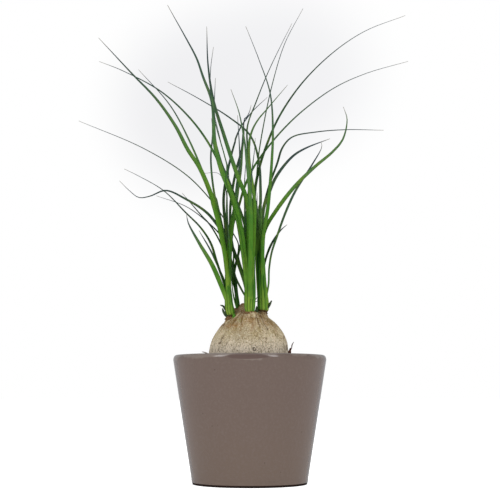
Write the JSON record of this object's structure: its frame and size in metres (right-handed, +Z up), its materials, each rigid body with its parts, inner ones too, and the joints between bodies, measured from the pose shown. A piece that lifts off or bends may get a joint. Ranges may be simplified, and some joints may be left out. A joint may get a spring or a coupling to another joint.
{
  "type": "potted ponytail palm",
  "caption": "Small ponytail palm with a round tan bulb and tufts of long arching grass-like leaves, in soil in a plain tapered glazed cover pot.",
  "frame": {"origin": "centre of the pot's flat underside", "axes": "+Z up along the pot's axis; -Y is the front that the picture shows, with +X to its right"},
  "size_m": [0.3218, 0.1868, 0.4531],
  "materials": {
    "glaze": "gloss",
    "soil": "matte",
    "bulb_skin": "matte",
    "leaf": "satin",
    "dry_scrap": "matte"
  },
  "bodies": {
    "root": {"pot": "glaze", "soil": "soil", "caudex": "bulb_skin", "shoot_left": "leaf", "shoot_back_left": "leaf", "shoot_centre": "leaf", "shoot_right": "leaf", "bark_chip": "dry_scrap", "root_scrap": "dry_scrap"}
  },
  "joints": []
}
